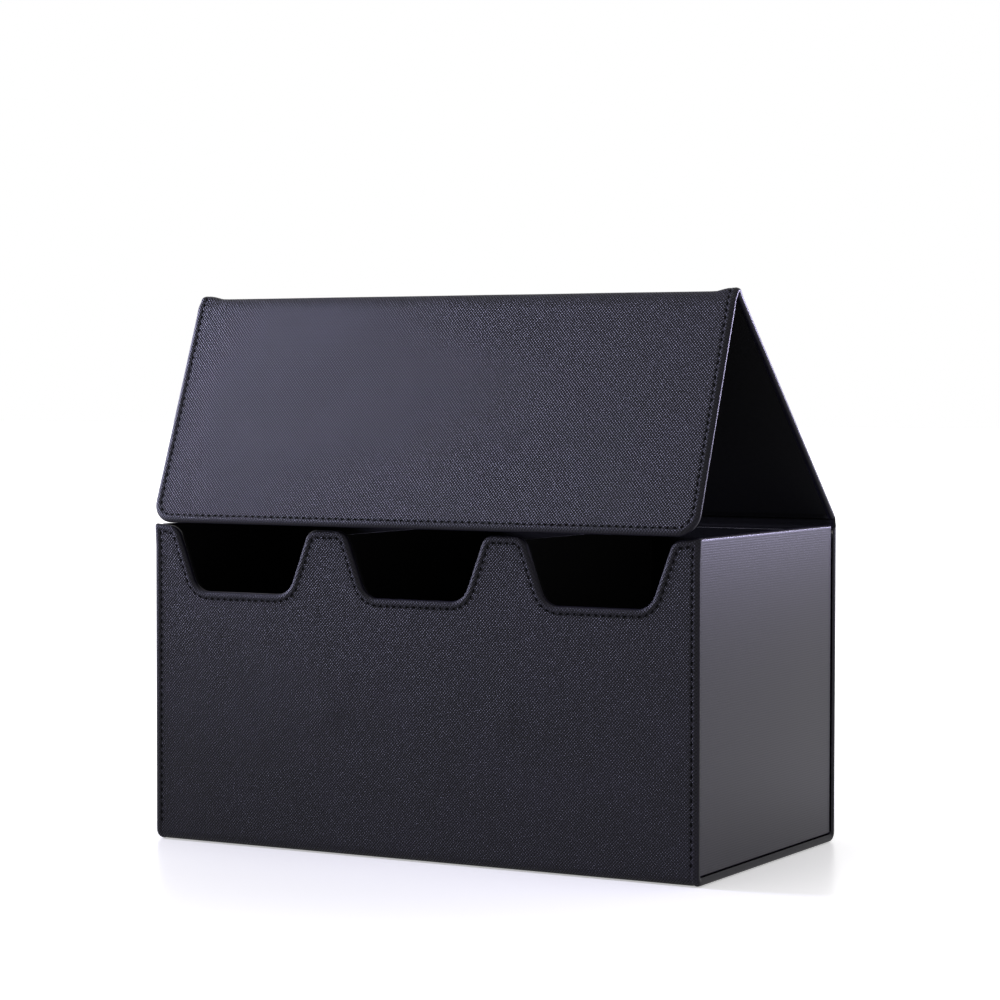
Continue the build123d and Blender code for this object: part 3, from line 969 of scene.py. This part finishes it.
def stitchLine(name, paths, place):
    verts, faces = [], []
    stations, sides = seam["stations"], seam["sides"]
    for x, s, way in [spot for path in paths for spot in stitchSpots(path)]:
        way = Vector((way.x - way.y * seam["slant"], way.y + way.x * seam["slant"])).normalized()
        side = Vector((-way.y, way.x))
        first = len(verts)
        for share, height, size in stations:
            a = share * seam["length"]
            for q in range(sides):
                turn = 2 * math.pi * q / sides
                off = math.cos(turn) * seam["thread"] * size
                rise = (height - seam["sink"] + sheetLift(x, s) * seam["follow"]
                        + math.sin(turn) * seam["thread"] * size)
                verts.append(place(x + way.x * a + side.x * off, s + way.y * a + side.y * off, rise))
        for j in range(len(stations) - 1):
            for q in range(sides):
                n = (q + 1) % sides
                faces.append((first + j * sides + q, first + j * sides + n,
                              first + (j + 1) * sides + n, first + (j + 1) * sides + q))
        faces.append(tuple(first + q for q in reversed(range(sides))))
        faces.append(tuple(first + (len(stations) - 1) * sides + q for q in range(sides)))
    piece = makePiece(name, verts, faces, [thread])
    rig.slot(piece, "leather")
    return piece


def lidPoint(x, s, rise):
    return onPanel(lidPanel, lidRun[0] + lidStart - s, lidPanel["face"] + rise, x)


def foldPlace(outer, inner, startS, flatten):
    # a point on a fold from its place along the sheet
    marks = [startS]
    for a, b in zip(outer, outer[1:]):
        marks.append(marks[-1] - (b - a).length)

    def place(x, s, rise):
        k = next((i for i in range(1, len(marks) - 1) if marks[i] <= s), len(marks) - 1)
        t = (marks[k - 1] - s) / (marks[k - 1] - marks[k])
        spot, under = outer[k - 1].lerp(outer[k], t), inner[k - 1].lerp(inner[k], t)
        spot = spot + (spot - under).normalized() * (rise + flatten(x, s)[0])
        return Vector((x, spot.x, spot.y))
    return place


inset = seam["inset"]
edges = (inset - sheetHalf, sheetHalf - inset)
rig.ride(stitchLine("frontSeam", [[p for p in caseEdge(inset) if p[1] > bend + 2]], casePoint), "box")
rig.ride(stitchLine("flapSeam", [flapEdge(inset)], flapPoint), "flap")
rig.ride(stitchLine("backSeam", [[(x, backEnd), (x, backBase - 2)] for x in edges], casePoint), "box")
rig.ride(stitchLine("lidSeam", [[(x, lidStart), (x, ridgeStart)] for x in edges], lidPoint), "lid")
for fold in folds:
    place = foldPlace(fold["outer"], fold["inner"], fold["from"], fold["flatten"])
    sewn = stitchLine(fold["name"] + "Seam", [[(x, fold["from"]), (x, fold["to"])] for x in edges], place)
    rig.blend(sewn, *fold["blend"])
print("seams sewn")


# Soft pads on the bay floors: pressed felt, slightly crowned with softened edges

pad = {"crown": 0.25, "step": 4.0, "uneven": 0.05, "patch": 14.0, "layer": 9.1,
       "edge": 1.2, "edgeRows": (0.25, 0.7), "edgeHeight": 0.25}     # the edge's height as a share


def feltPad(node):
    low, high = boxMm(node)
    xs, ys = (sorted(set(spaced(a, b, pad["step"]) + [a + d for d in pad["edgeRows"]]
                         + [b - d for d in pad["edgeRows"]])) for a, b in ((low.x, high.x), (low.y, high.y)))
    verts = []
    for y in ys:
        for x in xs:
            rim = min(x - low.x, high.x - x, y - low.y, high.y - y)
            soft = math.sqrt(max(0.0, 1 - (1 - min(1.0, rim / pad["edge"])) ** 2))
            middle = (math.sin(math.pi * (x - low.x) / (high.x - low.x))
                      * math.sin(math.pi * (y - low.y) / (high.y - low.y)))
            wave = pad["uneven"] * noise.noise(Vector((x / pad["patch"], y / pad["patch"], pad["layer"])))
            body = (high.z - low.z) * (pad["edgeHeight"] + (1 - pad["edgeHeight"]) * soft)
            verts.append(Vector((x, y, low.z + body + (pad["crown"] * middle + wave) * soft)))
    top, wide, rows = len(verts), len(xs), len(ys)
    faces = gridFaces(rows, wide)
    ring = (list(range(wide)) + [j * wide + wide - 1 for j in range(1, rows)]
            + [(rows - 1) * wide + i for i in reversed(range(wide - 1))]
            + [j * wide for j in reversed(range(1, rows - 1))])
    for k in ring:
        verts.append(Vector((verts[k].x, verts[k].y, low.z)))
    for k in range(len(ring)):
        n = (k + 1) % len(ring)
        faces.append((ring[n], ring[k], top + k, top + n))
    faces.append(tuple(top + k for k in reversed(range(len(ring)))))
    piece = makePiece("felt_" + node, verts, faces, [lining])
    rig.padded(piece, fill=0.35)
    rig.replaces(piece, node)
    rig.slot(piece, "lining")
    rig.ride(piece, "box")


for i in range(notch["count"]):                   # one bay behind each notch
    feltPad("floor_pad_%d" % (i + 1))
print("pads laid")


# Side walls: ribbed paper glued round each board, over its top and under its lower edge

wrap = {
    "corner": 1.2, "arcSteps": 8, "rowStep": 12.0,
    "flatRows": (0.4, 3.0),                       # close rows beside the corners keep the flat side flat
    "hem": 0.1, "turnDown": 0.5,
    # rows at the top as (distance below it, inset) and at the foot as (height over it, inset)
    "top": [(4.0, 0.0), (1.3, 0.0), (0.85, 0.0), (0.65, 0.03), (0.35, 0.14), (0.13, 0.36), (0.0, 0.7)],
    "foot": [(0.0, 1.0), (0.08, 0.62), (0.35, 0.28), (0.8, 0.07), (1.2, 0.0), (1.6, 0.0), (4.5, 0.0)],
    # the board inside is cut back a little so that the paper rounds its edges
    "boardEnd": 0.45, "boardFoot": 1.1, "boardTop": 0.1, "boardFace": 0.05,
}


def sideWrap(name, node, wall, side):
    low, high = boxMm(node)
    inner, outer = sorted((abs(low.x), abs(high.x)))
    r = wrap["corner"]
    plan = [(inner + wrap["hem"], low.y, 0.0, -1.0)]                 # each point with its way out
    for centre, start in ((low.y + r, -90), (high.y - r, 0)):
        for k in range(wrap["arcSteps"] + 1):
            a = math.radians(start + 90 * k / wrap["arcSteps"])
            plan.append((outer - r + r * math.cos(a), centre + r * math.sin(a), math.cos(a), math.sin(a)))
        if start < 0:
            plan += [(outer, low.y + r + d, 1.0, 0.0) for d in wrap["flatRows"]]
            plan += [(outer, high.y - r - d, 1.0, 0.0) for d in reversed(wrap["flatRows"])]
    plan.append((inner + wrap["hem"], high.y, 0.0, 1.0))
    foot = [(low.z + h, d) for h, d in wrap["foot"]]
    top = [(high.z - h, d) for h, d in wrap["top"]]
    rows = foot + [(z, 0.0) for z in spaced(foot[-1][0], top[0][0], wrap["rowStep"])[1:-1]] + top
    verts = []
    for z, d in rows:
        verts += [Vector((side * (u - nu * d), v - nv * d, z)) for u, v, nu, nv in plan]
    wide = len(plan)
    faces = gridFaces(len(rows), wide)
    last = (len(rows) - 1) * wide
    n = len(verts)
    for v in (verts[last + wide - 1].y, verts[last].y):              # turned down on the inside
        verts += [Vector((side * inner, v, high.z)), Vector((side * inner, v, high.z - wrap["turnDown"]))]
    faces.append(tuple(range(last, last + wide)) + (n, n + 2))
    faces.append((n, n + 1, n + 3, n + 2))
    if side < 0:
        faces = [tuple(reversed(face)) for face in faces]
    piece = makePiece(name, verts, faces, [paper])
    piece.data.polygons[len(faces) - 2].use_smooth = False
    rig.replaces(piece, node)
    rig.slot(piece, "side_paper")
    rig.ride(piece, "box")

    low, high = boxMm(wall)
    inner, outer = sorted((abs(low.x), abs(high.x)))
    corners = [Vector((side * u, v, z)) for z in (low.z + wrap["boardFoot"], high.z - wrap["boardTop"])
               for v in (low.y + wrap["boardEnd"], high.y - wrap["boardEnd"])
               for u in (inner, outer - wrap["boardFace"])]
    quads = [(0, 2, 3, 1), (4, 5, 7, 6), (0, 1, 5, 4), (2, 6, 7, 3), (1, 3, 7, 5), (0, 4, 6, 2)]
    if side < 0:
        quads = [tuple(reversed(quad)) for quad in quads]
    core = makePiece(name + "Board", corners, quads, [board])
    for face in core.data.polygons:
        face.use_smooth = False
    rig.replaces(core, wall)
    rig.slot(core, "greyboard")
    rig.ride(core, "box")


sideWrap("leftSideWrap", "left_side_paper", "tray_left_wall", -1)
sideWrap("rightSideWrap", "right_side_paper", "tray_right_wall", 1)
print("side papers wrapped")


# Finishes for the nodes that stay as they are

finishes = (
    (platedMetal("zincPlatedSteel"), ["keeper_discs"]),
    (platedMetal("nickelPlatedMagnet"), ["flap_magnets"]),
    (board, ["bottom_board", "front_board", "back_board", "lid_board", "flap_board"]),
    (lining, ["tray_front_wall", "tray_back_wall", "tray_floor", "front_lining", "back_lining", "left_lining",
              "right_lining", "divider_1", "divider_2", "lid_lining", "flap_lining"]),
)
for material, names in finishes:
    for node in names:
        mesh = nodes[node].data
        mesh.materials.clear()
        mesh.materials.append(material)
print("nodes finished")


# Camera, floor and light

view = {"place": (654.39, -1173.92, 207.50), "yaw": 29.05, "pitch": 2.144, "roll": 0.086, "lens": 105.02,
        "sensor": 36, "farthest": 60}
cameraData = bpy.data.cameras.new("studioCamera")
cameraData.lens = view["lens"]
cameraData.sensor_width = view["sensor"]
cameraData.clip_end = view["farthest"]
camera = bpy.data.objects.new("studioCamera", cameraData)
camera.location = Vector(view["place"]) * mm
camera.rotation_euler = [math.radians(a) for a in (90 - view["pitch"], -view["roll"], view["yaw"])]
bpy.context.scene.collection.objects.link(camera)
bpy.context.scene.camera = camera


def seenRays(tree):
    # 1 for rays that show a thing as it is, 0 for those that only light the box
    path = addNode(tree, "ShaderNodeLightPath")
    seen = path.outputs["Is Camera Ray"]
    for kind in ("Is Transmission Ray", "Is Glossy Ray"):
        either = addNode(tree, "ShaderNodeMath", {"operation": "MAXIMUM"}, {0: seen, 1: path.outputs[kind]})
        seen = either.outputs[0]
    return seen


# White acrylic sheet, cast and polished: bright white with a faint soft mirror image
# in metres, with a glow that grows from the box outward, so the floor is dimmer near the box: a painted shade round it
floorLook = {"white": "#f3f1f5", "roughness": 0.3, "ior": 1.49, "specular": 0.4,
             "half": 14.0, "height": -0.0002,
             "glowFrom": 0.1, "glowTo": 0.4, "nearGlow": 0.40, "farGlow": 0.85}
floorMaterial, tree, shader = newMaterial("castWhiteAcrylic")
spot = addNode(tree, "ShaderNodeTexCoord")
far = addNode(tree, "ShaderNodeVectorMath", {"operation": "LENGTH"}, {0: spot.outputs["Object"]})
# the glow is lower near the box: painted shade on the floor round the box
glow = addNode(tree, "ShaderNodeMapRange", {"interpolation_type": "SMOOTHSTEP"},
               {"Value": far.outputs["Value"],
                "From Min": floorLook["glowFrom"], "From Max": floorLook["glowTo"],
                "To Min": floorLook["nearGlow"], "To Max": floorLook["farGlow"]})
white = addNode(tree, "ShaderNodeMath", {"operation": "MULTIPLY"}, {0: seenRays(tree), 1: glow.outputs[0]})
setInputs(tree, shader, {"Emission Strength": white.outputs[0], "Emission Color": (1, 1, 1, 1),
                         "Base Color": linear(floorLook["white"]), "Roughness": floorLook["roughness"],
                         "IOR": floorLook["ior"], "Specular IOR Level": floorLook["specular"]})
half = floorLook["half"]
floorMesh = bpy.data.meshes.new("studioFloor")
floorMesh.from_pydata([(-half, -half, 0), (half, -half, 0), (half, half, 0), (-half, half, 0)], [],
                      [(0, 1, 2, 3)])
floorMesh.materials.append(floorMaterial)
floor = bpy.data.objects.new("studioFloor", floorMesh)
floor.location.z = floorLook["height"]
bpy.context.scene.collection.objects.link(floor)
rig.stage(floor)

# in metres; the first two have honeycomb grids that keep them off the floor
lamps = {
    "leftSoftbox": {"place": (-0.68, -0.16, 0.36), "aim": (0, 0, 0.27), "size": 0.24, "spread": 54,
                    "power": 1.85, "tint": "#d7d6ff"},
    "rightGrid": {"place": (0.84, 1.30, 0.36), "aim": (0.14, 0.02, 0.42), "size": 0.3, "spread": 21,
                  "power": 1.45, "tint": "#d9d2ff"},
    "overhead": {"place": (0.1, -0.2, 1.9), "aim": (0, 0, 0.1), "size": 1.2, "spread": 180,
                 "power": 10, "tint": "#ffffff"},
}
for name, lamp in lamps.items():
    light = bpy.data.lights.new(name, "AREA")
    light.shape = "SQUARE"
    light.size = lamp["size"]
    light.spread = math.radians(lamp["spread"])
    light.energy = lamp["power"]
    light.color = linear(lamp["tint"])[:3]
    holder = bpy.data.objects.new(name, light)
    holder.location = lamp["place"]
    holder.rotation_euler = (Vector(lamp["aim"]) - holder.location).to_track_quat("-Z", "Y").to_euler()
    bpy.context.scene.collection.objects.link(holder)

surround = {"lit": 0.35, "seen": 1.0}             # how bright the white surround is as light, and to the eye
world = bpy.data.worlds.new("studio")
world.use_nodes = True
bpy.context.scene.world = world
tree = world.node_tree
level = addNode(tree, "ShaderNodeMapRange", None,
                {"Value": seenRays(tree), "To Min": surround["lit"], "To Max": surround["seen"]})
setInputs(tree, tree.nodes["Background"], {"Color": (1, 1, 1, 1), "Strength": level.outputs[0]})
bpy.context.scene.view_settings.view_transform = "Standard"
print("studio set")

visualLow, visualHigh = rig.bounds()
with open("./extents.json", "w") as f:
    json.dump({"cad": [list(cadLow), list(cadHigh)], "visual": [list(visualLow), list(visualHigh)]}, f)
